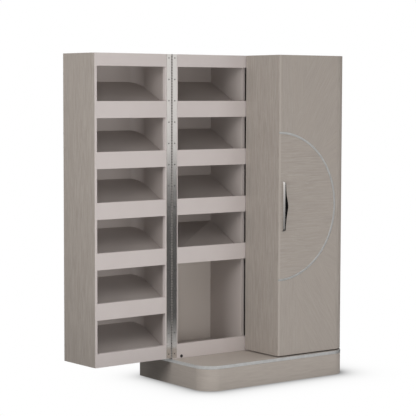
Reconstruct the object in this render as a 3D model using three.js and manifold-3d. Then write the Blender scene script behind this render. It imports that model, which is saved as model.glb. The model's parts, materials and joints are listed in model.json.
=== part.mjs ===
// Free-standing storage armoire. Two deep door boxes swing on full-height hinges in front of
// a shallow two-bay cabinet. Cabinet and doors hold sloping shelves behind upright lips, and
// the cabinet stands on a low plinth with rounded front corners and a metal edge band.
//
// Millimetres, +Z up, front towards -Y. The origin is the centre of the plinth's underside.

import * as THREE from 'three';
import { ConvexGeometry } from 'three/addons/geometries/ConvexGeometry.js';
import { mergeVertices } from 'three/addons/utils/BufferGeometryUtils.js';
import Module from 'manifold-3d';

const wasm = await Module();
wasm.setup();

// ---------------------------------------------------------------- driving dimensions

const WIDTH = 1022;             // over the cabinet sides
const DEPTH = 638;              // over the plinth
const HEIGHT = 1829;            // floor to top
const PLINTH_HEIGHT = 138;
const CABINET_DEPTH = 320;
const DOOR_DEPTH = 298;
const DOOR_LIFT = 7;            // clearance between plinth and door boxes
const DOOR_GAP = 4.6;           // between cabinet front and door box, filled by the hinge leaves
const MEETING_GAP = 2;          // between the two closed doors
const GAP = 0.3;                // glue line or slip fit between neighbouring pieces

const BOARD = 18;               // sides, tops, floors, plinth boards and door shells
const SIDE_BOARD = 15;          // door side at the meeting edge, and its frame edge
const BACK_BOARD = 6;
const DIVIDER = 20;
const FRAME = 25;               // thickness of the doors' face frames
const CABINET_FRAME = 18;
const POST = 38;                // face frame upright on the hinge side
const TOP_RAIL = 69;

const SHELF_PITCH = 270.5;
const LIP = 90.5;               // height of a shelf lip
const FIRST_LIP_TOP = 1573;     // top edge of the highest lip, above the floor
const SHELF = 10;               // measured upright
const SHELF_SLOPE = 0.5;        // rise towards the back for each millimetre of depth
const DOOR_SHELF_DROP = 23;     // shelf front edge below the top of its lip
const BAY_SHELF_DROP = 39.5;
const DOOR_LEVELS = 6;          // the lowest door shelf lies behind the bottom rail
const BAY_LEVELS = 4;
const FLOOR_TOP = 35;           // cabinet floor board, above the plinth

const DOOR_CORNER = 85;         // outer radius of the doors' rounded front corners
const PLINTH_CORNER = 103;
const BAND = 3;                 // thickness of the plinth's metal edge band
const BAND_PROUD = 1;           // how far the band stands out from the plinth boards

const HINGE_OFFSET = 4;         // hinge axis beyond the cabinet side
const BARREL_RADIUS = 4;
const BORE_RADIUS = 2.3;
const PIN_RADIUS = 2;
const LEAF_REACH = 35;          // hinge axis to the leaf's outer edge
const LEAF = 1.7;               // leaf thickness
const KNUCKLES = 15;

const RING_RADIUS = 412;        // middle of the inlaid circle that both doors share
const RING_WIDTH = 12;
const RING_DEPTH = 1.5;         // let into the door, and standing proud of it
const RING_HEIGHT = 986;        // circle centre above the floor

const HANDLE_LENGTH = 280;
const HANDLE_INSET = 27;        // grip face from the line where the doors meet
const HANDLE_REACH = 18;
const HANDLE_LEAN = 6;          // how far the grip face leans over its foot
const HANDLE_WIDE = 42;         // at mid height
const HANDLE_NARROW = 14;       // at the ends
const HANDLE_EDGE = 2;

const BUMPER_RADIUS = 9;
const BUMPER_INSET = 26.5;      // from the opening's edge
const BUMPER_HEIGHT = 13;       // above the plinth

const LEFT_OPEN = 177.7;        // degrees that the left door stands open

const ARC_STEPS = 16;           // facets in a quarter round

// ---------------------------------------------------------------- derived places

const HALF = WIDTH / 2;
const CABINET_FRONT = DEPTH / 2 - CABINET_DEPTH;
const CABINET_BACK = DEPTH / 2;
const CABINET_BASE = PLINTH_HEIGHT + GAP;
const DOOR_BASE = PLINTH_HEIGHT + DOOR_LIFT;
const INSIDE_FRONT = CABINET_FRONT + CABINET_FRAME + GAP;
const INSIDE_BACK = CABINET_BACK - BACK_BOARD - GAP;
const HINGE_X = HALF + HINGE_OFFSET;
const HINGE_Y = CABINET_FRONT - DOOR_GAP / 2;

// Door boxes are drawn in reach (from the hinge axis towards the meeting edge) and depth (from
// the open face towards the door front).
const DOOR_REACH = HINGE_X - MEETING_GAP / 2;
const SHELL_INSIDE = HINGE_OFFSET + BOARD;

// ---------------------------------------------------------------- materials

function finish(color, roughness, metalness) {
  return new THREE.MeshStandardMaterial({ color, roughness, metalness });
}

const veneer = finish(0x9b9188, 0.55, 0);
const lacquer = finish(0xbdb3af, 0.5, 0);
const steel = finish(0xb4b0ab, 0.35, 1);
const nickel = finish(0xc9c5c0, 0.15, 1);
const rubber = finish(0x151414, 0.8, 0);

// ---------------------------------------------------------------- shape helpers

function mesh(name, geometry, material) {
  const piece = new THREE.Mesh(geometry, material);
  piece.name = name;
  return piece;
}

// A box between two corners.
function board(name, [x0, x1], [y0, y1], [z0, z1], material) {
  const geometry = new THREE.BoxGeometry(Math.abs(x1 - x0), y1 - y0, z1 - z0);
  geometry.translate((x0 + x1) / 2, (y0 + y1) / 2, (z0 + z1) / 2);
  return mesh(name, geometry, material);
}

// An outline in plan, raised from z0 to z1.
function prism(points, z0, z1) {
  const shape = new THREE.Shape(points);
  const geometry = new THREE.ExtrudeGeometry(shape, { depth: z1 - z0, bevelEnabled: false });
  geometry.translate(0, 0, z0);
  return geometry;
}

// A shape drawn on the front (x across, y up), given thickness from y0 back to y1.
function plate(shape, y0, y1) {
  const options = { depth: y1 - y0, bevelEnabled: false, curveSegments: 48 };
  const geometry = new THREE.ExtrudeGeometry(shape, options);
  geometry.rotateX(Math.PI / 2);
  geometry.translate(0, y1, 0);
  return geometry;
}

// The corners of a rectangle, always in the same turning sense whichever end is named first.
function rectangle([xa, xb], [z0, z1]) {
  const x0 = Math.min(xa, xb);
  const x1 = Math.max(xa, xb);
  return [
    new THREE.Vector2(x0, z0),
    new THREE.Vector2(x1, z0),
    new THREE.Vector2(x1, z1),
    new THREE.Vector2(x0, z1),
  ];
}

// Points of a quarter circle, from one angle to the other, both in degrees.
function quarter(cx, cy, radius, from, to) {
  const points = [];
  for (let i = 0; i <= ARC_STEPS; i += 1) {
    const angle = THREE.MathUtils.degToRad(from + (to - from) * i / ARC_STEPS);
    points.push(new THREE.Vector2(cx + radius * Math.cos(angle), cy + radius * Math.sin(angle)));
  }
  return points;
}

// Tilts a level board into a slope that rises with y, or falls where slope is negative.
function slope(geometry, rise, yStart) {
  const shear = new THREE.Matrix4();
  shear.set(
    1, 0, 0, 0,
    0, 1, 0, 0,
    0, rise, 1, -rise * yStart,
    0, 0, 0, 1,
  );
  return geometry.applyMatrix4(shear);
}

function solid(geometry) {
  const bare = geometry.clone();
  bare.deleteAttribute('normal');
  bare.deleteAttribute('uv');
  const merged = mergeVertices(bare, 1e-4);
  return new wasm.Manifold(new wasm.Mesh({
    numProp: 3,
    vertProperties: new Float32Array(merged.attributes.position.array),
    triVerts: new Uint32Array(merged.index.array),
  }));
}

function fromSolid(body) {
  const { vertProperties, triVerts } = body.getMesh();
  const geometry = new THREE.BufferGeometry();
  geometry.setAttribute('position', new THREE.BufferAttribute(vertProperties, 3));
  geometry.setIndex(new THREE.BufferAttribute(triVerts, 1));
  return geometry;
}

// ---------------------------------------------------------------- plinth

// Outline of the plinth, drawn in from its widest line by inset: square at the back, round at
// the front corners. It runs from the back left corner to the back right one.
function plinthEdge(inset) {
  const half = HALF - inset;
  const front = -DEPTH / 2 + inset;
  const radius = PLINTH_CORNER - inset;
  return [
    new THREE.Vector2(-half, DEPTH / 2),
    ...quarter(-half + radius, front + radius, radius, 180, 270),
    ...quarter(half - radius, front + radius, radius, 270, 360),
    new THREE.Vector2(half, DEPTH / 2),
  ];
}

function plinthCorner(side) {
  const radius = PLINTH_CORNER - BAND_PROUD;
  const cx = HALF - PLINTH_CORNER;
  const cy = -DEPTH / 2 + PLINTH_CORNER;
  const outline = [
    ...quarter(cx, cy, radius, -90, 0),
    new THREE.Vector2(cx + radius - BOARD, cy),
    new THREE.Vector2(cx, cy - radius + BOARD),
  ];
  const placed = outline.map((p) => new THREE.Vector2(side * p.x, p.y));
  return prism(placed, 0, PLINTH_HEIGHT - BOARD - GAP);
}

function plinth() {
  const group = new THREE.Group();
  const tall = [0, PLINTH_HEIGHT - BOARD - GAP];
  const outer = HALF - BAND_PROUD;
  const front = -DEPTH / 2 + BAND_PROUD;
  const straight = HALF - PLINTH_CORNER - GAP;
  const sideStart = -DEPTH / 2 + PLINTH_CORNER + GAP;
  const inner = outer - BOARD - GAP;

  group.add(board('plinth_front', [-straight, straight], [front, front + BOARD], tall, veneer));
  group.add(board('plinth_back', [-inner, inner], [DEPTH / 2 - BOARD, DEPTH / 2], tall, veneer));
  const braceRun = [front + BOARD + GAP, DEPTH / 2 - BOARD - GAP];
  group.add(board('plinth_brace', [-POST, POST], braceRun, tall, lacquer));
  for (const [word, side] of [['left', -1], ['right', 1]]) {
    const across = [side * (outer - BOARD), side * outer];
    group.add(board(`plinth_side_${word}`, across, [sideStart, DEPTH / 2], tall, veneer));
    group.add(mesh(`plinth_corner_${word}`, plinthCorner(side), veneer));
  }

  const deck = prism(plinthEdge(BAND + GAP), PLINTH_HEIGHT - BOARD, PLINTH_HEIGHT);
  group.add(mesh('plinth_deck', deck, veneer));
  const strip = [...plinthEdge(0), ...plinthEdge(BAND).reverse()];
  const band = prism(strip, PLINTH_HEIGHT - BOARD, PLINTH_HEIGHT);
  group.add(mesh('plinth_band', band, steel));
  return group;
}

// ---------------------------------------------------------------- cabinet

// A face frame in one piece: an upright board with a window for each compartment.
function faceFrame([x0, x1], [z0, z1], windowRun, windows, [y0, y1]) {
  const shape = new THREE.Shape(rectangle([x0, x1], [z0, z1]));
  for (const window of windows) {
    shape.holes.push(new THREE.Path(rectangle(windowRun, window)));
  }
  return plate(shape, y0, y1);
}

function lipTop(level) {
  return FIRST_LIP_TOP - SHELF_PITCH * level;
}

// Height ranges of the compartment windows, from the top down.
function windowHeights(levels) {
  const heights = [];
  let above = HEIGHT - TOP_RAIL;
  for (let level = 0; level < levels; level += 1) {
    heights.push([lipTop(level), above]);
    above = lipTop(level) - LIP;
  }
  return { heights, above };
}

function cabinetFrame() {
  const { heights, above } = windowHeights(BAY_LEVELS);
  heights.push([lipTop(DOOR_LEVELS - 1), above]);
  const inner = HALF - POST;
  const thick = [CABINET_FRONT, CABINET_FRONT + CABINET_FRAME];
  return faceFrame([-HALF, HALF], [CABINET_BASE, HEIGHT], [-inner, inner], heights, thick);
}

function bayShelf(side, level) {
  const inner = side * (DIVIDER / 2 + GAP);
  const outer = side * (HALF - BOARD - GAP);
  const outline = rectangle([inner, outer], [INSIDE_FRONT + GAP, INSIDE_BACK - GAP]);
  const top = lipTop(level) - BAY_SHELF_DROP;
  return slope(prism(outline, top - SHELF, top), SHELF_SLOPE, INSIDE_FRONT);
}

function cabinet() {
  const group = new THREE.Group();
  const inner = HALF - BOARD - GAP;
  const across = [-inner, inner];
  const run = [INSIDE_FRONT, INSIDE_BACK];
  const full = [CABINET_BASE, HEIGHT];
  const floorTop = PLINTH_HEIGHT + FLOOR_TOP;

  group.add(mesh('cabinet_face_frame', cabinetFrame(), lacquer));
  group.add(board('cabinet_back', across, [CABINET_BACK - BACK_BOARD, CABINET_BACK], full, lacquer));
  group.add(board('cabinet_top', across, run, [HEIGHT - BOARD, HEIGHT], veneer));
  group.add(board('cabinet_floor', across, run, [floorTop - BOARD, floorTop], lacquer));
  const between = [floorTop + GAP, HEIGHT - BOARD - GAP];
  group.add(board('cabinet_divider', [-DIVIDER / 2, DIVIDER / 2], run, between, lacquer));

  for (const [word, side] of [['left', -1], ['right', 1]]) {
    const wall = [side * (HALF - BOARD), side * HALF];
    group.add(board(`cabinet_side_${word}`, wall, [INSIDE_FRONT, CABINET_BACK], full, veneer));
    for (let level = 0; level < BAY_LEVELS; level += 1) {
      const name = `bay_shelf_${word}_${level + 1}`;
      group.add(mesh(name, bayShelf(side, level), lacquer));
    }
    const bumper = new THREE.CylinderGeometry(BUMPER_RADIUS, BUMPER_RADIUS, DOOR_GAP - 2 * GAP, 24);
    const button = mesh(`bumper_${word}`, bumper, rubber);
    const x = side * (HALF - POST - BUMPER_INSET);
    button.position.set(x, CABINET_FRONT - DOOR_GAP / 2, PLINTH_HEIGHT + BUMPER_HEIGHT);
    group.add(button);
  }
  return group;
}

// ---------------------------------------------------------------- doors

// Turns reach and depth into the door group's own x and y. The group's origin is on the hinge
// axis, and side is -1 for the left door and 1 for the right one, both as they hang when closed.
function inDoor(side, reach, depth) {
  return new THREE.Vector2(-side * reach, -(DOOR_GAP / 2 + depth));
}

function doorPlan(side, points) {
  return points.map((p) => inDoor(side, p.x, p.y));
}

function doorBoard(name, side, [r0, r1], [d0, d1], heights, material) {
  const a = inDoor(side, r0, d1);
  const b = inDoor(side, r1, d0);
  return board(name, [a.x, b.x], [a.y, b.y], heights, material);
}

// Plan of everything that fits inside the shell, with its rounded front corner.
function insidePlan(inset) {
  const front = DOOR_DEPTH - BOARD - inset;
  const outer = SHELL_INSIDE + inset;
  const radius = DOOR_CORNER - BOARD - inset;
  const inner = DOOR_REACH - SIDE_BOARD - inset;
  return [
    new THREE.Vector2(outer, FRAME + GAP),
    ...quarter(outer + radius, front - radius, radius, 180, 90),
    new THREE.Vector2(inner, front),
    new THREE.Vector2(inner, FRAME + GAP),
  ];
}

function halfRing(side, halfWidth) {
  const end = Math.PI / 2 - 0.004;
  const centre = -side * HINGE_X;
  const shape = new THREE.Shape();
  const turn = side > 0 ? 0 : Math.PI;
  shape.absarc(centre, RING_HEIGHT, RING_RADIUS + halfWidth, turn - end, turn + end, false);
  shape.absarc(centre, RING_HEIGHT, RING_RADIUS - halfWidth, turn + end, turn - end, true);
  return shape;
}

// Door front, rounded corner and outer side in one bent piece, grooved for the inlay.
function doorShell(side) {
  const corner = HINGE_OFFSET + DOOR_CORNER;
  const outline = [
    new THREE.Vector2(HINGE_OFFSET, FRAME + GAP),
    ...quarter(corner, DOOR_DEPTH - DOOR_CORNER, DOOR_CORNER, 180, 90),
    new THREE.Vector2(DOOR_REACH, DOOR_DEPTH),
    new THREE.Vector2(DOOR_REACH, DOOR_DEPTH - BOARD),
    ...quarter(corner, DOOR_DEPTH - DOOR_CORNER, DOOR_CORNER - BOARD, 90, 180),
    new THREE.Vector2(SHELL_INSIDE, FRAME + GAP),
  ];
  const shell = solid(prism(doorPlan(side, outline), DOOR_BASE, HEIGHT));
  const face = -(DOOR_GAP / 2 + DOOR_DEPTH);
  const groove = plate(halfRing(side, RING_WIDTH / 2 + GAP), face - BOARD, face + RING_DEPTH);
  return fromSolid(shell.subtract(solid(groove)));
}

function doorFrame(side) {
  const { heights } = windowHeights(DOOR_LEVELS);
  const a = -side * HINGE_OFFSET;
  const b = -side * DOOR_REACH;
  const openFrom = -side * (HINGE_OFFSET + POST);
  const openTo = -side * (DOOR_REACH - SIDE_BOARD);
  const thick = [-(DOOR_GAP / 2 + FRAME), -DOOR_GAP / 2];
  return faceFrame([a, b], [DOOR_BASE, HEIGHT], [openFrom, openTo], heights, thick);
}

function doorShelf(side, level) {
  const top = lipTop(level) - DOOR_SHELF_DROP;
  const flat = prism(doorPlan(side, insidePlan(GAP)), top - SHELF, top);
  flat.translate(0, -GAP, 0);
  return slope(flat, -SHELF_SLOPE, -(DOOR_GAP / 2 + FRAME));
}

// A solid wedge: an upright grip face that leans in, and two facets that fall back to the door.
function handle(side) {
  const reach = HINGE_X - HANDLE_INSET;
  const base = DOOR_DEPTH + GAP;
  const points = [];
  const levels = [[-0.5, HANDLE_NARROW], [0, HANDLE_WIDE], [0.5, HANDLE_NARROW]];
  for (const [share, wide] of levels) {
    const z = RING_HEIGHT + share * HANDLE_LENGTH;
    const section = [
      [reach, base],
      [reach - HANDLE_LEAN, base + HANDLE_REACH],
      [reach - HANDLE_LEAN - HANDLE_EDGE, base + HANDLE_REACH],
      [reach - wide, base + HANDLE_EDGE],
      [reach - wide, base],
    ];
    for (const [r, d] of section) {
      const p = inDoor(side, r, d);
      points.push(new THREE.Vector3(p.x, p.y, z));
    }
  }
  return new ConvexGeometry(points);
}

function door(word, side) {
  const group = new THREE.Group();
  const full = [DOOR_BASE, HEIGHT];
  const add = (name, geometry, material) => {
    group.add(mesh(`${word}_door_${name}`, geometry, material));
  };

  add('shell', doorShell(side), veneer);
  add('face_frame', doorFrame(side), lacquer);
  const sideReach = [DOOR_REACH - SIDE_BOARD, DOOR_REACH];
  const sideDepth = [FRAME + GAP, DOOR_DEPTH - BOARD - GAP];
  group.add(doorBoard(`${word}_door_side`, side, sideReach, sideDepth, full, veneer));
  const lid = doorPlan(side, insidePlan(GAP));
  add('top', prism(lid, HEIGHT - BOARD, HEIGHT), veneer);
  add('bottom', prism(lid, DOOR_BASE, DOOR_BASE + BOARD), lacquer);
  for (let level = 0; level < DOOR_LEVELS; level += 1) {
    add(`shelf_${level + 1}`, doorShelf(side, level), lacquer);
  }

  const face = -(DOOR_GAP / 2 + DOOR_DEPTH);
  const ring = halfRing(side, RING_WIDTH / 2);
  add('inlay', plate(ring, face - RING_DEPTH, face + RING_DEPTH - GAP), steel);
  add('handle', handle(side), nickel);
  return group;
}

// ---------------------------------------------------------------- hinges

// One leaf with its share of the knuckles. It is drawn about the hinge axis, with the plate
// running towards +x when way is 1, and towards +y from the axis when rise is 1.
function hingeLeaf(way, rise, firstKnuckle) {
  const length = HEIGHT - DOOR_BASE;
  const pitch = length / KNUCKLES;
  const lift = rise * (DOOR_GAP / 2 - GAP - LEAF / 2);
  const slab = (x0, x1, z0, z1) => {
    const geometry = new THREE.BoxGeometry(x1 - x0, LEAF, z1 - z0);
    geometry.translate(way * (x0 + x1) / 2, lift, (z0 + z1) / 2);
    return solid(geometry);
  };
  const barrel = (radius, z0, z1) => {
    const geometry = new THREE.CylinderGeometry(radius, radius, z1 - z0, 12);
    geometry.rotateX(Math.PI / 2);
    geometry.translate(0, 0, (z0 + z1) / 2);
    return solid(geometry);
  };

  let leaf = slab(BARREL_RADIUS + GAP, LEAF_REACH, DOOR_BASE, HEIGHT);
  for (let i = firstKnuckle; i < KNUCKLES; i += 2) {
    const z0 = DOOR_BASE + i * pitch + GAP;
    const z1 = DOOR_BASE + (i + 1) * pitch - GAP;
    leaf = leaf.add(slab(0, BARREL_RADIUS + 2 * GAP, z0, z1)).add(barrel(BARREL_RADIUS, z0, z1));
  }
  return fromSolid(leaf.subtract(barrel(BORE_RADIUS, DOOR_BASE - BOARD, HEIGHT + BOARD)));
}

function hingePin() {
  const length = HEIGHT - DOOR_BASE;
  const geometry = new THREE.CylinderGeometry(PIN_RADIUS, PIN_RADIUS, length, 12);
  geometry.rotateX(Math.PI / 2);
  geometry.translate(0, 0, DOOR_BASE + length / 2);
  return geometry;
}

// ---------------------------------------------------------------- assembly

const armoire = new THREE.Group();
armoire.add(plinth(), cabinet());

for (const [word, side, turn] of [['left', -1, -LEFT_OPEN], ['right', 1, 0]]) {
  const fixed = new THREE.Group();
  fixed.position.set(side * HINGE_X, HINGE_Y, 0);
  fixed.add(mesh(`${word}_hinge_cabinet_leaf`, hingeLeaf(-side, 1, 0), steel));
  fixed.add(mesh(`${word}_hinge_pin`, hingePin(), steel));
  armoire.add(fixed);

  const swinging = door(word, side);
  swinging.add(mesh(`${word}_hinge_door_leaf`, hingeLeaf(-side, -1, 1), steel));
  swinging.position.copy(fixed.position);
  swinging.rotation.z = THREE.MathUtils.degToRad(turn);
  armoire.add(swinging);
}

export default armoire;
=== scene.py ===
"""Looks of a free-standing storage armoire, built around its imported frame.

Metres, +Z up, front towards -Y. Door pieces are drawn as the doors hang when closed, and the
left door's are then swung open to where the frame has them at rest.
"""

import json
import math

import bmesh
import bpy
from mathutils import Matrix, Vector


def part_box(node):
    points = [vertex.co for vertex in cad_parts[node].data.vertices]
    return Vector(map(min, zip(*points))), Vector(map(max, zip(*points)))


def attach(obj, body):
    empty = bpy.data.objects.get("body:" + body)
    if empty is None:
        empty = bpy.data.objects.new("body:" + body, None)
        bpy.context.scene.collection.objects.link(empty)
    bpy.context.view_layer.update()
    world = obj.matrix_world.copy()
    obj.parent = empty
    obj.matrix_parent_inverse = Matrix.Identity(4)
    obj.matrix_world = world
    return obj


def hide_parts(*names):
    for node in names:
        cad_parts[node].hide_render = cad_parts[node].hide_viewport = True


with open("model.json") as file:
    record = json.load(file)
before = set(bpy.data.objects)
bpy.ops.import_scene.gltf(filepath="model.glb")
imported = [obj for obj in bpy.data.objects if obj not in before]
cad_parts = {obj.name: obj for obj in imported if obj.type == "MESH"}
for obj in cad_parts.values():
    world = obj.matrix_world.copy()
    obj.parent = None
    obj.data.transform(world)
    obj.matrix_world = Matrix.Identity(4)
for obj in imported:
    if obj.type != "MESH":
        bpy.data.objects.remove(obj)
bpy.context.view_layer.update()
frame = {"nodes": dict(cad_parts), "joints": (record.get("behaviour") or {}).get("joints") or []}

# ---------------------------------------------------------------- measures

MM = 0.001
ARRIS = 0.9 * MM            # rounding of visible board edges
TIGHT = 0.3 * MM            # rounding where boards are glued side by side
SHELF_ARRIS = 3 * MM        # rounding of the shelves' edges
SHARP_ANGLE = math.radians(30)
HAIR = 0.05 * MM            # how near to a plane a point has to be, to lie in it

DOOR_CORNER = 85 * MM       # rounded front corner of a door, outside
ARC_STEPS = 32              # facets in a quarter round

RING_STEPS = 120            # facets along half of the inlaid circle
RING_RADIUS = 412 * MM
RING_HALF_WIDTH = 6 * MM

KNUCKLE_PITCH = 14.8 * MM
KNUCKLE_GAP = 1.9 * MM
BARREL_RADIUS = 4 * MM
BORE_RADIUS = 2.3 * MM
BARREL_SIDES = 20
LEAF_THICK = 1.7 * MM
LEAF_LIFT = 1.15 * MM       # hinge axis to the middle of a leaf's thickness
LEAF_START = 4.8 * MM
SCREW_PITCH = 117 * MM
SCREW_INSET = 21 * MM      # top screw below the end of the hinge
SCREW_REACH = 20 * MM
SCREW_RADIUS = 4.0 * MM
HINGE_SPLIT = 228 * MM      # height where the upper hinge length meets the lower one
SPLIT_GAP = 2.6 * MM

HANDLE_SECTIONS = 48
HANDLE_NARROW = 14 * MM     # width at the ends
HANDLE_LEAN = 6 * MM
HANDLE_RIDGE = 1.2 * MM
HANDLE_END = 9 * MM         # length of the rounded ends
HANDLE_PEAK = 0.12          # how blunt the swelling is
HANDLE_TAPER = 2.0
HANDLE_FALL = 0.45          # slope of the facet towards the door
HANDLE_FOOT = 1 * MM        # upright edge where the pull meets the door
HANDLE_TIP = 0.55           # share of the full reach that is left at the very ends
HANDLE_ROUNDING = 0.5 * MM

BAND_DEPTH = 3 * MM         # plinth band, let in behind its face
BAND_CROWN = 0.45 * MM
BAND_SOFT = 0.8 * MM
CROWN_STEPS = 9             # points across a crowned metal strip
INLAY_FLAT = 0.86           # share of the inlay's half width that its crown covers
INLAY_CROWN = 0.18
INLAY_EDGE = 0.15           # height of the inlay's edge, as a share of how far it stands proud

MERGE = 0.01 * MM           # points nearer than this are one
FLAT_ANGLE = math.radians(0.5)
TURN_STEPS = 32             # sides of a turned bumper
SCREW_SIDES = 24
KNUCKLE_SOFT = 0.5 * MM
LEAF_ROUNDING = 0.35 * MM
WEB_ROOT = 0.6              # where the web starts, in barrel radii from the hinge axis
WEB_OVERLAP = 0.4 * MM      # how far the web runs under its leaf

# Turned profile of a bumper: radius as a share of its own, and distance out as a share of its
# height.
BUMPER_PROFILE = [
    (1.0, 0.0),
    (1.0, 0.25),
    (0.93, 0.38),
    (0.80, 0.40),
    (0.76, 0.62),
    (0.66, 0.82),
    (0.45, 0.95),
    (0.15, 1.0),
]

# Turned profile of a screw head: radius as a share of its own, and millimetres out. The rings
# nearer the middle than SLOT_REACH are pinched into a cross.
SCREW_PROFILE = [
    (1.0, -0.35),
    (1.0, 0.0),
    (0.93, 0.14),
    (0.55, 0.22),
    (0.34, 0.22),
    (0.18, -0.30),
]
SLOT_REACH = 0.4

# ---------------------------------------------------------------- tones and light

WHITE = (1.0, 1.0, 1.0, 1.0)

LEAF_ANGLE = math.radians(15)     # one leaf of the sunburst round the circle
LEAF_SKEW = math.radians(9)       # its grain against its middle line, mirrored from leaf to leaf
LEAF_SHIFT = 0.37                 # offset of the pattern from leaf to leaf

VENEER_DARK = (0.298, 0.262, 0.232, 1)
VENEER_LIGHT = (0.440, 0.395, 0.357, 1)
VENEER_WARM = (0.385, 0.336, 0.296, 1)
VENEER_PORE = (0.270, 0.238, 0.212, 1)
# Tone of the solid-wood lipping, and the paler tone towards which the plinth and deck veneers are
# lifted as painted light.
VENEER_LIPPING_AND_LIT_TONE = (0.455, 0.405, 0.362, 1)
LIPPING = 15 * MM                 # width of the solid wood along the meeting edge

# Pattern sizes of the veneer: features per metre along the grain, and twice across it.
GRAIN_DRIFT = (3.0, 7.0, 7.0)
GRAIN_BANDS = (1.2, 26.0, 26.0)
GRAIN_STREAKS = (6.0, 160.0, 160.0)
GRAIN_PORES = (24.0, 900.0, 900.0)
GRAIN_SWAY = 0.035                # how far the drift bends the grain, in metres
PORE_SHARE = 0.38
CALM_INSIDE = 0.30                # evening out of the streaks inside the circle
CALM_MORE = 0.22                  # and the extra outside it

LACQUER_LOW = (0.578, 0.520, 0.500, 1)
LACQUER_HIGH = (0.602, 0.546, 0.526, 1)
# Darker copy of the lacquer for the insides of the boxes: painted shade in the recesses.
LACQUER_INSIDE_SHADE_LOW = (0.466, 0.415, 0.390, 1)
LACQUER_INSIDE_SHADE_HIGH = (0.488, 0.437, 0.412, 1)
# Darker still for the shelves: painted shade on their tops.
LACQUER_SHELF_SHADE_LOW = (0.415, 0.368, 0.345, 1)
LACQUER_SHELF_SHADE_HIGH = (0.437, 0.390, 0.367, 1)
# Darkest copy of the lacquer for the back panel: painted shade at the back of the bays.
LACQUER_BACK_SHADE_LOW = (0.380, 0.334, 0.312, 1)
LACQUER_BACK_SHADE_HIGH = (0.400, 0.353, 0.331, 1)
# Paler, warmer tone on the back panel in the tall bay: painted light.
LACQUER_TALL_BAY_LIT = (0.610, 0.552, 0.505, 1)
LACQUER_SPECK = (0.450, 0.402, 0.380, 1)

SATIN_LEVEL = 0.2                 # specular level of veneer and lacquer

RUBBER_LOW = (0.010, 0.010, 0.010, 1)
RUBBER_HIGH = (0.028, 0.027, 0.026, 1)

# Painted contact shadow on the floor round the plinth: how far it reaches and how deep it is.
SHADE_REACH = 62 * MM
SHADE_DEPTH = 0.70
WALL_GLOW = 0.82            # brightness of the studio's walls in gloss
FLOOR_GLOW = 0.09           # and of its open floor
NEAR_GLOW = 0.58            # floor beside the object, in gloss
NEAR_RANGE = (0.85, 2.1)    # metres over which the near floor fades to the open one
FAR_RANGE = (13.0, 36.0)    # and the open floor fades to the walls
HAZE = (1.8, 1.0)           # how much sooner it does so towards -X
HAZE_TURN = (-0.6, 0.2)     # x of the directions between which the haze changes
DIM_TURN = (0.75, 0.95)     # and of those between which gloss dims towards +X
DIM_LEFT = 0.06             # brightness that is left there
BOUNCE_FRONT = 0.72         # soft light from the floor in front of the object
BOUNCE_REST = 0.10
BOUNCE_RANGE = (-0.5, -0.2) # depths between which it changes
CEILING_GLOW = 1.15
CEILING_TURN = (0.5, 0.8)   # z of the directions between which the ceiling starts
AMBIENT = 0.04
FLOOR_REACH = 40.0

OBJECT_MIDDLE = Vector((0.0, 0.0, 0.9))

# Each lamp: its name, place, size and brightness.
SOFTBOXES = [
    ("left", (-4.8, -1.0, 2.1), (1.6, 1.6), 9.8),
    ("left_high", (-3.4, -3.2, 3.2), (1.6, 1.6), 3.0),
    ("front", (-1.8, -4.8, 0.95), (1.6, 1.7), 3.4),
    ("front_low", (-0.8, -4.4, 0.7), (3.0, 1.4), 1.2),
    ("right_low", (1.6, -4.6, 0.5), (1.8, 1.0), 3.4),
    ("right", (4.2, -2.6, 1.1), (1.6, 1.6), 2.2),
    ("back", (1.6, 4.6, 1.9), (2.4, 2.0), 4.0),
]

CAMERA_PLACE = (-5.3861, -6.8721, 1.6217)
CAMERA_HEADING = 0.64060    # radians from +Y towards +X
CAMERA_TILT = 0.07562       # below level
CAMERA_ROLL = 0.00269
CAMERA_LENS = 132.32
SENSOR_WIDTH = 36.0
VIEW_DEPTH = 200.0

# ---------------------------------------------------------------- the frame's own measures

nodes_by_name = frame["nodes"]
hinges = {j["child"]: j for j in frame["joints"]}
hinge_spot = Vector(hinges["right_door"]["pos_m"])
leaf_reach = hinge_spot.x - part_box("right_hinge_cabinet_leaf")[0].x
left_spot = Vector(hinges["left_door"]["pos_m"])
left_swing = math.radians(hinges["left_door"]["range_deg"][1])
closing = (
    Matrix.Translation(left_spot)
    @ Matrix.Rotation(left_swing, 4, "Z")
    @ Matrix.Translation(-left_spot)
)
opening = closing.inverted()

# Each door: its body, the side that it hangs on, and where it stands at rest.
DOORS = {"left": (-1, opening), "right": (1, Matrix.Identity(4))}

shell_low, shell_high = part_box("right_door_shell")
frame_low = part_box("right_door_face_frame")[0]
board_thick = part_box("right_door_top")[1].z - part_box("right_door_top")[0].z
ring_low, ring_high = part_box("right_door_inlay")
ring_height = (ring_low.z + ring_high.z) / 2
back_low, back_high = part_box("cabinet_back")
tall_bay_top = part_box("bay_shelf_left_4")[1].z - board_thick / 2
# Depth and height that bound the back panel's painted light in the tall bay.
lit_bay_wall = ((back_low.y + back_high.y) / 2, tall_bay_top)

# ---------------------------------------------------------------- node trees


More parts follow.
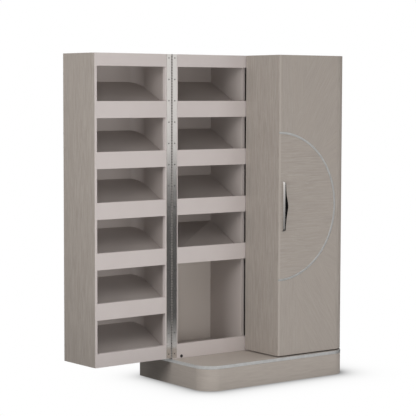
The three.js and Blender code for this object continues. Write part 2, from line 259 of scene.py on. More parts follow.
class Nodes:
    """A node tree while it is being drawn up."""

    def __init__(self, tree):
        self.tree = tree
        tree.nodes.clear()

    def feed(self, socket, value):
        if isinstance(value, bpy.types.NodeSocket):
            self.tree.links.new(value, socket)
        else:
            socket.default_value = value

    def add(self, kind, values=None, **settings):
        node = self.tree.nodes.new("ShaderNode" + kind)
        for key, value in settings.items():
            setattr(node, key, value)
        for key, value in (values or {}).items():
            self.feed(node.inputs[key], value)
        return node

    def math(self, operation, a, b=0.0):
        return self.add("Math", {0: a, 1: b}, operation=operation).outputs[0]

    def split(self, vector):
        return self.add("SeparateXYZ", {0: vector}).outputs

    def join(self, x, y, z=0.0):
        return self.add("CombineXYZ", {0: x, 1: y, 2: z}).outputs[0]

    def scaled(self, vector, factors):
        return self.add("VectorMath", {0: vector, 1: factors}, operation="MULTIPLY").outputs[0]

    def noise(self, vector, detail=2.0, roughness=0.5, scale=1.0):
        values = {"Vector": vector, "Scale": scale, "Detail": detail, "Roughness": roughness}
        return self.add("TexNoise", values).outputs["Fac"]

    def remap(self, value, start, end, low, high):
        values = {1: start, 2: end, 3: low, 4: high}
        return self.add("MapRange", {0: value, **values}).outputs[0]

    def mix(self, share, a, b):
        return self.add("Mix", {0: share, 6: a, 7: b}, data_type="RGBA").outputs[2]

    def blend_numbers(self, share, a, b):
        return self.add("Mix", {0: share, 2: a, 3: b}, data_type="FLOAT").outputs[0]

    def place(self):
        return self.add("TexCoord").outputs["Object"]

    def bump(self, height, distance, strength=1.0):
        values = {"Height": height, "Distance": distance, "Strength": strength}
        return self.add("Bump", values).outputs[0]


def new_finish(name):
    """A material with a Principled shader wired to its output: (material, nodes, shader)."""
    material = bpy.data.materials.new(name)
    material.use_nodes = True
    nodes = Nodes(material.node_tree)
    shader = nodes.add("BsdfPrincipled")
    nodes.add("OutputMaterial", {"Surface": shader.outputs[0]})
    return material, nodes, shader


# ---------------------------------------------------------------- materials


def upright_grain(nodes, place):
    x, y, z = nodes.split(place)[:3]
    return nodes.join(z, x, y)


def level_grain(nodes, place):
    x, y, z = nodes.split(place)[:3]
    return nodes.join(x, y, z)


def plinth_grain(nodes, place):
    """Runs along the front and on round the corners."""
    x, y, z = nodes.split(place)[:3]
    return nodes.join(nodes.math("ADD", nodes.math("ABSOLUTE", x), y), z)


def front_grain(nodes, place):
    """Level inside the inlaid circle, and a sunburst of book-matched leaves outside it."""
    x, _, z = nodes.split(place)[:3]
    across = nodes.math("ABSOLUTE", x)
    up = nodes.math("SUBTRACT", z, ring_height)
    radius = nodes.add("VectorMath", {0: nodes.join(across, up)}, operation="LENGTH").outputs[1]
    turn = nodes.math("DIVIDE", nodes.math("ARCTAN2", up, across), LEAF_ANGLE)
    mirrored = nodes.math("PINGPONG", turn, 1.0)
    leaf = nodes.math("FLOOR", turn)
    lean = nodes.math("MULTIPLY", nodes.math("SUBTRACT", mirrored, 0.5), LEAF_ANGLE)
    lean = nodes.math("ADD", lean, LEAF_SKEW)
    burst = nodes.join(
        nodes.math("MULTIPLY", radius, nodes.math("COSINE", lean)),
        nodes.math("MULTIPLY", radius, nodes.math("SINE", lean)),
        nodes.math("MULTIPLY", leaf, LEAF_SHIFT),
    )
    outside = nodes.math("GREATER_THAN", radius, RING_RADIUS)
    return nodes.mix(outside, nodes.join(x, z), burst)


def calm_outside_ring(nodes, place):
    """How far the sunburst's streaks are evened out: more outside the circle than inside."""
    x, _, z = nodes.split(place)[:3]
    up = nodes.math("SUBTRACT", z, ring_height)
    radius = nodes.add("VectorMath", {0: nodes.join(x, up)}, operation="LENGTH").outputs[1]
    outside = nodes.math("GREATER_THAN", radius, RING_RADIUS)
    return nodes.math("ADD", nodes.math("MULTIPLY", outside, CALM_MORE), CALM_INSIDE)


def veneer(name, grain, lipped=False, pale=0.0):
    """Grey-washed open-grain veneer under a satin finish. grain gives a vector whose x runs
    along the grain and whose y and z run across it. A lipped front has a paler strip of solid
    wood along the edge where the doors meet. The last argument is how far the whole tends to
    that paler tone, which is painted light: the plinth and its deck are made to look more lit."""
    material, nodes, shader = new_finish(name)
    place = nodes.place()
    along = grain(nodes, place)
    drift = nodes.noise(nodes.scaled(along, GRAIN_DRIFT), 1.0)
    sway = nodes.math("MULTIPLY", nodes.math("SUBTRACT", drift, 0.5), GRAIN_SWAY)
    along = nodes.add("VectorMath", {0: along, 1: nodes.join(0.0, sway, sway)}).outputs[0]

    bands = nodes.noise(nodes.scaled(along, GRAIN_BANDS), 2.0)
    streaks = nodes.noise(nodes.scaled(along, GRAIN_STREAKS), 4.0, 0.7)
    pores = nodes.noise(nodes.scaled(along, GRAIN_PORES), 2.0, 0.6)
    open_pores = nodes.remap(pores, 0.54, 0.72, 0.0, 1.0)

    contrast = nodes.remap(streaks, 0.3, 0.7, 0.0, 1.0)
    if lipped:
        contrast = nodes.blend_numbers(calm_outside_ring(nodes, place), contrast, 0.5)
    tone = nodes.mix(contrast, VENEER_DARK, VENEER_LIGHT)
    tone = nodes.mix(nodes.remap(bands, 0.3, 0.7, 0.0, 0.35), tone, VENEER_WARM)
    tone = nodes.mix(nodes.math("MULTIPLY", open_pores, PORE_SHARE), tone, VENEER_PORE)
    # Paler over the whole: painted light.
    if pale:
        tone = nodes.mix(pale, tone, VENEER_LIPPING_AND_LIT_TONE)
    if lipped:
        across = nodes.math("ABSOLUTE", nodes.split(place)[0])
        strip = nodes.remap(across, LIPPING - HAIR, LIPPING + HAIR, 0.6, 0.0)
        tone = nodes.mix(strip, tone, VENEER_LIPPING_AND_LIT_TONE)
    nodes.feed(shader.inputs["Base Color"], tone)
    nodes.feed(shader.inputs["Roughness"], nodes.remap(streaks, 0.2, 0.8, 0.42, 0.56))
    relief = nodes.math("SUBTRACT", nodes.math("MULTIPLY", streaks, 0.6), open_pores)
    nodes.feed(shader.inputs["Normal"], nodes.bump(relief, 0.09 * MM, 0.8))
    shader.inputs["Specular IOR Level"].default_value = SATIN_LEVEL
    return material


def lacquer(name, low, high, lit_bay=None):
    """Smooth greige satin lacquer with a faint orange peel, between two close tones. The last
    argument is a depth and a height: in front of the one and below the other the tone is paler
    and warmer, which is painted light on the back wall of the tall bay."""
    material, nodes, shader = new_finish(name)
    place = nodes.place()
    cloud = nodes.noise(place, 3.0, 0.55, 5.0)
    speck = nodes.noise(place, 2.0, 0.5, 260.0)
    tone = nodes.mix(nodes.remap(cloud, 0.3, 0.7, 0.0, 1.0), low, high)
    tone = nodes.mix(nodes.remap(speck, 0.55, 0.8, 0.0, 0.12), tone, LACQUER_SPECK)
    # Painted light: the tall bay's back wall is made paler.
    if lit_bay is not None:
        depth, height = nodes.split(place)[1:3]
        in_front = nodes.math("LESS_THAN", depth, lit_bay[0])
        below = nodes.math("LESS_THAN", height, lit_bay[1])
        tone = nodes.mix(nodes.math("MULTIPLY", in_front, below), tone, LACQUER_TALL_BAY_LIT)
    nodes.feed(shader.inputs["Base Color"], tone)
    nodes.feed(shader.inputs["Roughness"], nodes.remap(cloud, 0.25, 0.75, 0.36, 0.46))
    peel = nodes.noise(place, 1.0, 0.5, 520.0)
    nodes.feed(shader.inputs["Normal"], nodes.bump(peel, 0.02 * MM, 0.5))
    shader.inputs["Specular IOR Level"].default_value = SATIN_LEVEL
    return material


def brushed_metal(name, color, worn, scratch_run, gloss, metallic=1.0, relief=0.4):
    """Metal brushed along scratch_run, whose small factor names the direction."""
    material, nodes, shader = new_finish(name)
    place = nodes.place()
    lines = nodes.noise(nodes.scaled(place, scratch_run), 3.0, 0.6)
    smudge = nodes.noise(place, 3.0, 0.6, 14.0)
    tone = nodes.mix(nodes.remap(lines, 0.3, 0.7, 0.0, 1.0), worn, color)
    nodes.feed(shader.inputs["Base Color"], tone)
    rough = nodes.math(
        "ADD",
        nodes.remap(smudge, 0.3, 0.7, gloss[0], gloss[1]),
        nodes.remap(lines, 0.3, 0.7, -0.02, 0.02),
    )
    nodes.feed(shader.inputs["Roughness"], rough)
    nodes.feed(shader.inputs["Normal"], nodes.bump(lines, 0.004 * MM, relief))
    shader.inputs["Metallic"].default_value = metallic
    return material


def rubber(name):
    material, nodes, shader = new_finish(name)
    place = nodes.place()
    grit = nodes.noise(place, 3.0, 0.6, 900.0)
    tone = nodes.mix(grit, RUBBER_LOW, RUBBER_HIGH)
    nodes.feed(shader.inputs["Base Color"], tone)
    nodes.feed(shader.inputs["Roughness"], nodes.remap(grit, 0.2, 0.8, 0.6, 0.85))
    nodes.feed(shader.inputs["Normal"], nodes.bump(grit, 0.05 * MM, 0.6))
    return material


VENEER_UPRIGHT = veneer("veneer_upright", upright_grain)
VENEER_LEVEL = veneer("veneer_level", level_grain)
# Paler copies for the plinth's deck and skirt: painted light.
VENEER_DECK_LIT = veneer("veneer_deck_painted_light", level_grain, pale=0.9)
VENEER_PLINTH_LIT = veneer("veneer_plinth_painted_light", plinth_grain, pale=0.45)
VENEER_FRONT = veneer("veneer_front", front_grain, lipped=True)
LACQUER = lacquer("lacquer_satin", LACQUER_LOW, LACQUER_HIGH)
# Darker copies of the lacquer for the insides: painted shade.
LACQUER_INSIDE_SHADED = lacquer("lacquer_inside_painted_shade", LACQUER_INSIDE_SHADE_LOW, LACQUER_INSIDE_SHADE_HIGH)
LACQUER_SHELF_SHADED = lacquer("lacquer_shelf_painted_shade", LACQUER_SHELF_SHADE_LOW, LACQUER_SHELF_SHADE_HIGH)
LACQUER_BACK_SHADE_AND_LIGHT = lacquer("lacquer_back_painted_shade_and_light", LACQUER_BACK_SHADE_LOW, LACQUER_BACK_SHADE_HIGH, lit_bay_wall)
TRIM = brushed_metal(
    "trim_brushed",
    (0.68, 0.68, 0.67, 1),
    (0.58, 0.58, 0.57, 1),
    (40.0, 40.0, 40.0),
    (0.40, 0.46),
    metallic=0.75,
    relief=0.05,
)
STEEL = brushed_metal(
    "hinge_plated", (0.78, 0.75, 0.72, 1), (0.70, 0.67, 0.64, 1), (700.0, 700.0, 20.0), (0.09, 0.14)
)
# Darker copy of the hinge metal for the knuckles: painted shade along the barrel.
KNUCKLE_SHADED = brushed_metal(
    "hinge_knuckles_painted_shade", (0.62, 0.59, 0.56, 1), (0.45, 0.43, 0.41, 1), (90.0, 90.0, 500.0), (0.28, 0.38)
)
SCREW = brushed_metal(
    "hinge_screws", (0.16, 0.155, 0.15, 1), (0.10, 0.095, 0.09, 1), (300.0, 300.0, 300.0), (0.44, 0.54)
)
NICKEL = brushed_metal(
    "handle_polished",
    (0.80, 0.77, 0.74, 1),
    (0.74, 0.71, 0.68, 1),
    (500.0, 500.0, 14.0),
    (0.06, 0.10),
)
RUBBER = rubber("rubber_matt")

# ---------------------------------------------------------------- shape helpers


def quarter(cx, cy, radius, start, end, steps=ARC_STEPS):
    """Points of a quarter circle, from one angle to the other, both in degrees."""
    angles = [math.radians(start + (end - start) * i / steps) for i in range(steps + 1)]
    return [(cx + radius * math.cos(a), cy + radius * math.sin(a)) for a in angles]


def raise_outline(shape, outline, low, high):
    """Adds the solid over a plan outline between two heights."""
    bottom = [shape.verts.new((x, y, low)) for x, y in outline]
    top = [shape.verts.new((x, y, high)) for x, y in outline]
    shape.faces.new(list(reversed(bottom)))
    shape.faces.new(top)
    count = len(outline)
    for i in range(count):
        j = (i + 1) % count
        shape.faces.new((bottom[i], bottom[j], top[j], top[i]))


def add_box(shape, low, high):
    outline = [(low[0], low[1]), (high[0], low[1]), (high[0], high[1]), (low[0], high[1])]
    raise_outline(shape, outline, low[2], high[2])


def loft(shape, rings, close_ends=True):
    """Skins a row of closed rings that all have the same number of points."""
    made = [[shape.verts.new(p) for p in ring] for ring in rings]
    count = len(made[0])
    for a, b in zip(made, made[1:]):
        for i in range(count):
            j = (i + 1) % count
            shape.faces.new((a[i], a[j], b[j], b[i]))
    if close_ends:
        shape.faces.new(list(reversed(made[0])))
        shape.faces.new(made[-1])


def edge_angle(edge):
    return edge.calc_face_angle(0.0)


def round_edges(shape, width, wanted, segments=2):
    """Rounds the sharp edges that wanted(middle, edge) picks."""
    picked = [
        e
        for e in shape.edges
        if len(e.link_faces) == 2
        and edge_angle(e) > SHARP_ANGLE
        and wanted((e.verts[0].co + e.verts[1].co) / 2, e)
    ]
    bmesh.ops.bevel(
        shape, geom=picked, offset=width, segments=segments, profile=0.5, affect="EDGES",
        clamp_overlap=True,
    )


def finish_shape(shape):
    """Turns normals outwards and shades round parts smooth."""
    bmesh.ops.recalc_face_normals(shape, faces=shape.faces)
    for face in shape.faces:
        face.smooth = True
    for edge in shape.edges:
        edge.smooth = len(edge.link_faces) == 2 and edge_angle(edge) < SHARP_ANGLE


def add_piece(name, shape, materials, body, stands_for=(), place=None):
    """Makes the object from a bmesh drawn in metres, and hands it to the frame."""
    finish_shape(shape)
    mesh = bpy.data.meshes.new(name)
    shape.to_mesh(mesh)
    shape.free()
    for material in materials:
        mesh.materials.append(material)
    piece = bpy.data.objects.new(name, mesh)
    bpy.context.scene.collection.objects.link(piece)
    if place is not None:
        piece.matrix_world = place
    even = piece.modifiers.new("even_normals", "WEIGHTED_NORMAL")
    even.keep_sharp = True
    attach(piece, body)
    if stands_for:
        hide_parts(*stands_for)
    return piece


def soften(name, width):
    """Rounds the edges of a board that the frame already has."""
    board = nodes_by_name[name]
    weld = board.modifiers.new("weld", "WELD")
    weld.merge_threshold = MERGE
    rounding = board.modifiers.new("rounding", "BEVEL")
    rounding.width = width
    rounding.segments = 3 if width > ARRIS else 2
    rounding.limit_method = "ANGLE"
    rounding.angle_limit = SHARP_ANGLE


def dress(name, material, width=ARRIS):
    """Gives a board of the frame its material, and soft edges."""
    board = nodes_by_name[name]
    board.data.materials.clear()
    board.data.materials.append(material)
    soften(name, width)


def shape_from_node(name, place=None):
    """The frame's own solid, welded and with its flat faces whole."""
    shape = bmesh.new()
    shape.from_mesh(nodes_by_name[name].data)
    if place is not None:
        bmesh.ops.transform(shape, matrix=place, verts=shape.verts)
    bmesh.ops.remove_doubles(shape, verts=shape.verts, dist=MERGE)
    bmesh.ops.dissolve_limit(
        shape, angle_limit=FLAT_ANGLE, verts=shape.verts, edges=shape.edges
    )
    bmesh.ops.recalc_face_normals(shape, faces=shape.faces)
    return shape


# ---------------------------------------------------------------- plinth


def plinth_line(inset, radius, low, high):
    """Plan line of the plinth, from the back left corner round the front to the back right."""
    left, right = low.x + inset, high.x - inset
    front, bend = low.y + inset, radius - inset
    return [
        (left, high.y),
        *quarter(left + bend, front + bend, bend, 180, 270),
        *quarter(right - bend, front + bend, bend, 270, 360),
        (right, high.y),
    ]


def make_plinth():
    band_low, band_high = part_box("plinth_band")
    front_low, front_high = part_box("plinth_front")
    corner_low, corner_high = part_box("plinth_corner_right")
    proud = front_low.y - band_low.y
    radius = corner_high.x - corner_low.x + proud
    thick = front_high.y - front_low.y

    outer = plinth_line(proud, radius, band_low, band_high)
    inner = plinth_line(proud + thick, radius, band_low, band_high)
    skirt = bmesh.new()
    raise_outline(skirt, outer + inner[::-1], front_low.z, front_high.z)
    round_edges(skirt, ARRIS, lambda middle, edge: middle.z < front_low.z + HAIR)
    boards = [f"plinth_{n}" for n in
              ("front", "side_left", "side_right", "corner_left", "corner_right")]
    # the skirt's paler veneer is painted light
    add_piece("plinth_skirt", skirt, [VENEER_PLINTH_LIT], "cabinet", boards)

    height = band_high.z - band_low.z
    edge = BAND_SOFT + BAND_CROWN
    profile = [(BAND_DEPTH, band_low.z), (edge, band_low.z)]
    for i in range(CROWN_STEPS):
        share = i / (CROWN_STEPS - 1)
        rise = band_low.z + BAND_SOFT + (height - 2 * BAND_SOFT) * share
        profile.append((BAND_CROWN * (2 * share - 1) ** 2, rise))
    profile += [(edge, band_high.z), (BAND_DEPTH, band_high.z)]
    lines = [
        [(x, y, z) for x, y in plinth_line(inset, radius, band_low, band_high)]
        for inset, z in profile
    ]
    band = bmesh.new()
    loft(band, [[line[i] for line in lines] for i in range(len(lines[0]))])
    add_piece("plinth_trim", band, [TRIM], "cabinet", ["plinth_band"])

    # the deck's paler veneer is painted light
    dress("plinth_deck", VENEER_DECK_LIT, TIGHT)
    dress("plinth_back", VENEER_LEVEL, TIGHT)
    dress("plinth_brace", LACQUER)


# ---------------------------------------------------------------- cabinet


def is_outer_edge(face, low, high):
    """True for the veneered edges of a face frame: its two outer sides and its top."""
    middle = face.calc_center_median()
    side = abs(face.normal.x) > 0.99
    at_side = middle.x < low.x + HAIR or middle.x > high.x - HAIR
    at_top = face.normal.z > 0.99 and middle.z > high.z - HAIR
    return (side and at_side) or at_top


def make_face_frame(name, body, seam_y, place=None):
    """A one-piece face frame: rounded but for the edges glued against the box at seam_y."""
    back = place.inverted() if place is not None else None
    shape = shape_from_node(name, back)
    low = Vector([min(v.co[i] for v in shape.verts) for i in range(3)])
    high = Vector([max(v.co[i] for v in shape.verts) for i in range(3)])
    round_edges(shape, ARRIS, lambda middle, edge: abs(middle.y - seam_y) > HAIR)
    bmesh.ops.recalc_face_normals(shape, faces=shape.faces)
    shape.normal_update()
    for face in shape.faces:
        face.material_index = int(is_outer_edge(face, low, high))
    finishes = [LACQUER, VENEER_UPRIGHT]
    add_piece(name + "_rounded", shape, finishes, body, [name], place)


def turned(profile, steps, spot):
    """Rings of a body turned about an axis along -Y: profile is (radius, distance out)."""
    rings = []
    for radius, out in profile:
        ring = []
        for i in range(steps):
            angle = 2 * math.pi * i / steps
            ring.append((
                spot.x + radius * math.cos(angle),
                spot.y - out,
                spot.z + radius * math.sin(angle),
            ))
        rings.append(ring)
    return rings


def make_bumper(word):
    name = f"bumper_{word}"
    low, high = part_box(name)
    spot = Vector(((low.x + high.x) / 2, high.y, (low.z + high.z) / 2))
    radius = (high.x - low.x) / 2
    tall = high.y - low.y
    profile = [(wide * radius, out * tall) for wide, out in BUMPER_PROFILE]
    shape = bmesh.new()
    loft(shape, turned(profile, TURN_STEPS, spot))
    add_piece(name + "_button", shape, [RUBBER], "cabinet", [name])


def make_cabinet():
    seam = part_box("cabinet_face_frame")[1].y
    make_face_frame("cabinet_face_frame", "cabinet", seam)
    for name in sorted(nodes_by_name):
        if name.startswith("bay_shelf"):
            # the shelves take the darker shelf lacquer: painted shade
            dress(name, LACQUER_SHELF_SHADED, SHELF_ARRIS)
        elif name in ("cabinet_floor", "cabinet_divider"):
            # the cabinet's floor and divider take the darker lacquer: painted shade
            dress(name, LACQUER_INSIDE_SHADED)
    # the back panel: painted shade in the small bays, painted light in the tall one
    dress("cabinet_back", LACQUER_BACK_SHADE_AND_LIGHT, TIGHT)
    dress("cabinet_top", VENEER_LEVEL, TIGHT)
    for word in DOORS:
        dress(f"cabinet_side_{word}", VENEER_UPRIGHT, TIGHT)
        make_bumper(word)


# ---------------------------------------------------------------- doors


def faces_inwards(face, side, corner_x, corner_y):
    """True for the faces of a door shell that line its inside."""
    middle = face.calc_center_median()
    if abs(face.normal.z) > 0.5:
        return False
    x, y = side * middle.x - corner_x, middle.y - corner_y
    if x > 0 and y < 0:
        return face.normal.x * side * x + face.normal.y * y < 0
    if x > 0:
        return face.normal.x * side < -0.5
    return face.normal.y > 0.5


def make_shell(word):
    """Door front, rounded corner and outer side in one bent piece."""
    side, place = DOORS[word]
    outer, inner = shell_high.x, shell_low.x
    front, seam = shell_low.y, shell_high.y
    bend = DOOR_CORNER
    plan = [
        (outer, seam),
        *quarter(outer - bend, front + bend, bend, 0, -90),
        (inner, front),
        (inner, front + board_thick),
        *quarter(outer - bend, front + bend, bend - board_thick, -90, 0),
        (outer - board_thick, seam),
    ]
    shape = bmesh.new()
    raise_outline(shape, [(side * x, y) for x, y in plan], shell_low.z, shell_high.z)

    def is_arris(middle, edge):
        upright = abs(edge.verts[0].co.z - edge.verts[1].co.z) > HAIR
        if upright:
            return abs(abs(middle.x) - inner) < HAIR and abs(middle.y - front) < HAIR
        from_middle = Vector((abs(middle.x) - (outer - bend), middle.y - (front + bend)))
        if from_middle.x > 0 and from_middle.y < 0:
            return from_middle.length > bend - board_thick / 2
        return abs(abs(middle.x) - outer) < HAIR or abs(middle.y - front) < HAIR

    bmesh.ops.recalc_face_normals(shape, faces=shape.faces)
    round_edges(shape, ARRIS, is_arris)
    shape.normal_update()
    for face in shape.faces:
        middle = face.calc_center_median()
        if face.normal.y < -0.99 and middle.y < front + HAIR:
            face.material_index = 1
        elif faces_inwards(face, side, outer - bend, front + bend):
            face.material_index = 2
    name = f"{word}_door_shell"
    # the shell's inside faces take the darker lacquer: painted shade
    finishes = [VENEER_UPRIGHT, VENEER_FRONT, LACQUER_INSIDE_SHADED]
    add_piece(name + "_bent", shape, finishes, f"{word}_door", [name], place)


def make_inlay(word):
    """Half of the inlaid circle: a low crowned strip let into the door front."""
    side, place = DOORS[word]
    face = shell_low.y
    proud = face - ring_low.y
    depth = ring_high.y - face
    profile = [(-1.0, -depth), (-1.0, INLAY_EDGE * proud)]
    for i in range(CROWN_STEPS):
        across = -INLAY_FLAT + 2 * INLAY_FLAT * i / (CROWN_STEPS - 1)
        profile.append((across, proud * (1.0 - INLAY_CROWN * across * across)))
    profile += [(1.0, INLAY_EDGE * proud), (1.0, -depth)]
    rings = []
    start = math.asin(ring_low.x / RING_RADIUS)
    for i in range(RING_STEPS + 1):
        angle = -math.pi / 2 + start + (math.pi - 2 * start) * i / RING_STEPS
        ring = []
        for across, out in profile:
            radius = RING_RADIUS + across * RING_HALF_WIDTH
            ring.append((
                side * radius * math.cos(angle),
                face - out,
                ring_height + radius * math.sin(angle),
            ))
        rings.append(ring)
    shape = bmesh.new()
    loft(shape, rings)
    name = f"{word}_door_inlay"
    add_piece(name + "_strip", shape, [TRIM], f"{word}_door", [name], place)


def make_handle(word):
    """An upright pull: a grip face that leans in, and a facet that swells out at mid height."""
    side, place = DOORS[word]
    low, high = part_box("right_door_handle")
    grip, base, out = low.x, high.y, low.y
    middle = (low.z + high.z) / 2
    half = (high.z - low.z) / 2
    reach = base - out
    blunt_span = math.hypot(1.0, HANDLE_PEAK) - HANDLE_PEAK
    rings = []
    for i in range(HANDLE_SECTIONS + 1):
        share = 2 * i / HANDLE_SECTIONS - 1
        spread = (math.hypot(share, HANDLE_PEAK) - HANDLE_PEAK) / blunt_span
        swell = (1.0 - min(spread, 1.0)) ** HANDLE_TAPER
        wide = HANDLE_NARROW + (high.x - low.x - HANDLE_NARROW) * swell
        z = middle + share * half
        to_end = min(1.0, (half - abs(share) * half) / HANDLE_END)
        tip = base - reach * (HANDLE_TIP + (1 - HANDLE_TIP) * math.sqrt(to_end))
        run = wide - HANDLE_LEAN - HANDLE_RIDGE
        foot = min(base - HANDLE_FOOT, tip + HANDLE_FALL * run)
        rings.append([
            (side * grip, base, z),
            (side * grip, base - HANDLE_FOOT, z),
            (side * (grip + HANDLE_LEAN), tip, z),
            (side * (grip + HANDLE_LEAN + HANDLE_RIDGE), tip, z),
            (side * (grip + wide), foot, z),
            (side * (grip + wide), base, z),
        ])
    shape = bmesh.new()
    loft(shape, rings)
    bmesh.ops.recalc_face_normals(shape, faces=shape.faces)
    round_edges(shape, HANDLE_ROUNDING, lambda spot, edge: spot.y < base - HAIR)
    name = f"{word}_door_handle"
    add_piece(name + "_blade", shape, [NICKEL], f"{word}_door", [name], place)


def make_meeting_side(word):
    """The door's side at the meeting edge: veneered outside, lacquered inside. The inside
    lacquer is the darker copy, which is painted shade.
    """
    side, place = DOORS[word]
    low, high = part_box("right_door_side")
    shape = bmesh.new()
    near, far = sorted((side * low.x, side * high.x))
    add_box(shape, (near, low.y, low.z), (far, high.y, high.z))
    bmesh.ops.recalc_face_normals(shape, faces=shape.faces)
    for face in shape.faces:
        face.material_index = int(face.normal.x * side > 0.5)
    name = f"{word}_door_side"
    finishes = [VENEER_UPRIGHT, LACQUER_INSIDE_SHADED]
    add_piece(name + "_board", shape, finishes, f"{word}_door", [name], place)


def make_door(word):
    place = DOORS[word][1]
    seam = frame_low.y
    make_shell(word)
    make_face_frame(f"{word}_door_face_frame", f"{word}_door", seam, place)
    make_inlay(word)
    make_handle(word)
    for name in sorted(nodes_by_name):
        if name.startswith(f"{word}_door_shelf"):
            # the shelves take the darker shelf lacquer: painted shade
            dress(name, LACQUER_SHELF_SHADED, SHELF_ARRIS)
    # the door's bottom takes the darker lacquer: painted shade
    dress(f"{word}_door_bottom", LACQUER_INSIDE_SHADED)
    make_meeting_side(word)
    dress(f"{word}_door_top", VENEER_UPRIGHT, TIGHT)


# ---------------------------------------------------------------- hinges


def tube(shape, spot, low, high):
    """One knuckle: a tube about the hinge axis with softened ends."""
    profile = [
        (BORE_RADIUS, low),
        (BARREL_RADIUS - KNUCKLE_SOFT, low),
        (BARREL_RADIUS, low + KNUCKLE_SOFT),
        (BARREL_RADIUS, high - KNUCKLE_SOFT),
        (BARREL_RADIUS - KNUCKLE_SOFT, high),
        (BORE_RADIUS, high),
    ]
    made = []
    for radius, z in profile:
        ring = []
        for i in range(BARREL_SIDES):
            angle = 2 * math.pi * i / BARREL_SIDES
            point = (spot.x + radius * math.cos(angle), spot.y + radius * math.sin(angle), z)
            ring.append(shape.verts.new(point))
        made.append(ring)
    for a, b in zip(made, made[1:] + made[:1]):
        for i in range(BARREL_SIDES):
            j = (i + 1) % BARREL_SIDES
            face = shape.faces.new((a[i], a[j], b[j], b[i]))
            # the knuckles take the darker metal: painted shade
            face.material_index = 1


def add_screw(shape, spot, facing):
    """A flush cross-head screw. facing is +1 or -1: the way along Y that it looks."""
    rings = []
    for wide, out in SCREW_PROFILE:
        radius = wide * SCREW_RADIUS
        ring = []
        for i in range(SCREW_SIDES):
            angle = 2 * math.pi * i / SCREW_SIDES
            cross = 1.0
            if wide < SLOT_REACH:
                cross = 0.55 + 0.75 * abs(math.cos(2 * angle)) ** 3
            ring.append((
                spot.x + cross * radius * math.cos(angle),
                spot.y + facing * out * MM,
                spot.z + cross * radius * math.sin(angle),
            ))
        rings.append(ring)
    loft(shape, rings)


def hinge_spans():
    """The two lengths that each hinge is made of, from the floor up."""
    low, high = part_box("right_hinge_cabinet_leaf")
    return [(low.z, HINGE_SPLIT - SPLIT_GAP / 2), (HINGE_SPLIT + SPLIT_GAP / 2, high.z)]


def make_leaf(word, kind):
    """One leaf of a piano hinge: kind is cabinet or door. Both are drawn with the door closed."""
    side, place = DOORS[word]
    spot = Vector((side * hinge_spot.x, hinge_spot.y, 0.0))
    rise = 1 if kind == "cabinet" else -1
    middle = spot.y + rise * LEAF_LIFT
    leaf = bmesh.new()
    screws = bmesh.new()
    spans = hinge_spans()
    for low, high in spans:
        near, far = spot.x - side * LEAF_START, spot.x - side * leaf_reach
        plate_low = (min(near, far), middle - LEAF_THICK / 2, low)
        plate_high = (max(near, far), middle + LEAF_THICK / 2, high)
        add_box(leaf, plate_low, plate_high)
    round_edges(leaf, LEAF_ROUNDING, lambda middle, edge: True, 1)
    for low, high in spans:
        count = max(1, round((high - low) / KNUCKLE_PITCH))
        pitch = (high - low) / count
        for i in range(0 if kind == "cabinet" else 1, count, 2):
            bottom = low + i * pitch + KNUCKLE_GAP
            top = low + (i + 1) * pitch - KNUCKLE_GAP
            tube(leaf, spot, bottom, top)
            root = spot.x - side * WEB_ROOT * BARREL_RADIUS
            end = spot.x - side * (LEAF_START + WEB_OVERLAP)
            web_low = (min(root, end), middle - LEAF_THICK / 2, bottom)
            web_high = (max(root, end), middle + LEAF_THICK / 2, top)
            add_box(leaf, web_low, web_high)
    bottom, top = spans[0][0], spans[1][1]
    count = int((top - bottom - SCREW_INSET) / SCREW_PITCH) + 1
    for i in range(count):
        height = top - SCREW_INSET - i * SCREW_PITCH
        head = Vector((
            spot.x - side * SCREW_REACH, spot.y + rise * (LEAF_LIFT - LEAF_THICK / 2), height,
        ))
        add_screw(screws, head, -rise)
    node = f"{word}_hinge_{kind}_leaf"
    body = "cabinet" if kind == "cabinet" else f"{word}_door"
    where = None if kind == "cabinet" else place
    # the second finish, the darker knuckle metal, is painted shade
    add_piece(node + "_plated", leaf, [STEEL, KNUCKLE_SHADED], body, [node], where)
    add_piece(f"{word}_hinge_{kind}_screws", screws, [SCREW], body, (), where)


def make_hinges():
    for word in DOORS:
        make_leaf(word, "cabinet")
        make_leaf(word, "door")
        dress(f"{word}_hinge_pin", SCREW, TIGHT)


# ---------------------------------------------------------------- surroundings

def painted_contact_shadow(nodes):
    """Brightness of the floor: 1 in the open, and falling close to the plinth's outline. This is a
    painted contact shadow, not a cast one.
    """
    band_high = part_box("plinth_band")[1]
    corner_low, corner_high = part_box("plinth_corner_right")
    bend = corner_high.x - corner_low.x
    x, y = nodes.split(nodes.place())[:2]
    beyond_x = nodes.math("SUBTRACT", nodes.math("ABSOLUTE", x), band_high.x - bend)
    beyond_y = nodes.math("SUBTRACT", nodes.math("ABSOLUTE", y), band_high.y - bend)
    flat_x = nodes.math("MAXIMUM", beyond_x, 0.0)
    flat_y = nodes.math("MAXIMUM", beyond_y, 0.0)
    out = nodes.add("VectorMath", {0: nodes.join(flat_x, flat_y)}, operation="LENGTH").outputs[1]
    gap = nodes.math("MAXIMUM", nodes.math("SUBTRACT", out, bend), 0.0)
    fade = nodes.math("EXPONENT", nodes.math("DIVIDE", gap, -SHADE_REACH))
    return nodes.math("SUBTRACT", 1.0, nodes.math("MULTIPLY", fade, SHADE_DEPTH))


def dim_right(nodes, eastward):
    """Darkens gloss towards +X. eastward is the x of a level unit direction."""
    return nodes.remap(eastward, *DIM_TURN, 1.0, DIM_LEFT)


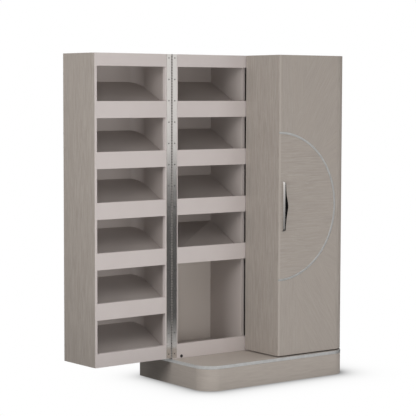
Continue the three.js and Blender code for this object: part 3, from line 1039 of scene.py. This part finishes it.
def make_floor():
    """A white floor with a painted soft contact shadow. Gloss and soft light see it duller."""
    reach = FLOOR_REACH
    mesh = bpy.data.meshes.new("floor")
    corners = [(-reach, -reach, 0), (reach, -reach, 0), (reach, reach, 0), (-reach, reach, 0)]
    mesh.from_pydata(corners, [], [(0, 1, 2, 3)])
    floor = bpy.data.objects.new("floor", mesh)
    bpy.context.scene.collection.objects.link(floor)
    material = bpy.data.materials.new("floor_white")
    material.use_nodes = True
    nodes = Nodes(material.node_tree)
    x, y = nodes.split(nodes.place())[:2]
    away = nodes.add("VectorMath", {0: nodes.join(x, y)}, operation="LENGTH").outputs[1]
    eastward = nodes.math("DIVIDE", x, away)
    hazy = nodes.math("MULTIPLY", away, nodes.remap(eastward, *HAZE_TURN, *HAZE))
    glow = nodes.remap(away, *NEAR_RANGE, NEAR_GLOW, FLOOR_GLOW)
    far_glow = nodes.remap(hazy, *FAR_RANGE, 0.0, WALL_GLOW - FLOOR_GLOW)
    glow = nodes.math("ADD", glow, far_glow)
    glow = nodes.math("MULTIPLY", glow, dim_right(nodes, eastward))
    bounce = nodes.remap(y, *BOUNCE_RANGE, BOUNCE_FRONT, BOUNCE_REST)
    rays = nodes.add("LightPath").outputs
    strength = nodes.blend_numbers(rays["Is Glossy Ray"], bounce, glow)
    strength = nodes.blend_numbers(rays["Is Camera Ray"], strength, painted_contact_shadow(nodes))
    seen = nodes.add("Emission", {"Color": WHITE, "Strength": strength}).outputs[0]
    nodes.add("OutputMaterial", {"Surface": seen})
    mesh.materials.append(material)


def make_world():
    """White to the eye; pale studio walls in gloss; a bright ceiling for the soft light."""
    world = bpy.data.worlds.new("studio")
    world.use_nodes = True
    bpy.context.scene.world = world
    nodes = Nodes(world.node_tree)
    x, y, z = nodes.split(nodes.add("TexCoord").outputs["Generated"])[:3]
    level = nodes.add("VectorMath", {0: nodes.join(x, y)}, operation="NORMALIZE").outputs[0]
    dim = dim_right(nodes, nodes.split(level)[0])
    walls = nodes.math("MULTIPLY", dim, WALL_GLOW)
    ceiling = nodes.remap(z, *CEILING_TURN, AMBIENT, CEILING_GLOW)
    rays = nodes.add("LightPath").outputs
    strength = nodes.blend_numbers(rays["Is Glossy Ray"], ceiling, walls)
    strength = nodes.blend_numbers(rays["Is Camera Ray"], strength, 1.0)
    back = nodes.add("Background", {"Color": WHITE, "Strength": strength})
    nodes.add("OutputWorld", {"Surface": back.outputs[0]})


def add_softbox(name, spot, size, glow):
    """A panel light of that brightness, turned to the object and not seen in its gloss."""
    light = bpy.data.lights.new(name, "AREA")
    light.shape = "RECTANGLE"
    light.size, light.size_y = size
    light.energy = glow * math.pi * size[0] * size[1]
    lamp = bpy.data.objects.new(name, light)
    lamp.location = spot
    lamp.rotation_mode = "QUATERNION"
    lamp.rotation_quaternion = (OBJECT_MIDDLE - Vector(spot)).to_track_quat("-Z", "Y")
    lamp.visible_glossy = False
    lamp.visible_camera = False
    bpy.context.scene.collection.objects.link(lamp)


def make_lights():
    for name, spot, size, glow in SOFTBOXES:
        add_softbox(name, spot, size, glow)


def make_camera():
    heading, tilt, roll = CAMERA_HEADING, CAMERA_TILT, CAMERA_ROLL
    place = Vector(CAMERA_PLACE)
    ahead = Vector((
        math.sin(heading) * math.cos(tilt), math.cos(heading) * math.cos(tilt), -math.sin(tilt),
    ))
    level = Vector((math.cos(heading), -math.sin(heading), 0.0))
    upward = level.cross(ahead)
    across = math.cos(roll) * level + math.sin(roll) * upward
    above = -math.sin(roll) * level + math.cos(roll) * upward
    turn = Matrix((across, above, -ahead)).transposed().to_4x4()
    camera = bpy.data.objects.new("camera", bpy.data.cameras.new("camera"))
    camera.matrix_world = Matrix.Translation(place) @ turn
    camera.data.sensor_width = SENSOR_WIDTH
    camera.data.lens = CAMERA_LENS
    camera.data.clip_end = VIEW_DEPTH
    bpy.context.scene.collection.objects.link(camera)
    bpy.context.scene.camera = camera


# ---------------------------------------------------------------- assembly

make_plinth()
make_cabinet()
make_door("left")
make_door("right")
make_hinges()
make_floor()
make_world()
make_lights()
make_camera()
bpy.context.scene.view_settings.view_transform = "Standard"
bpy.context.scene.view_settings.look = "None"
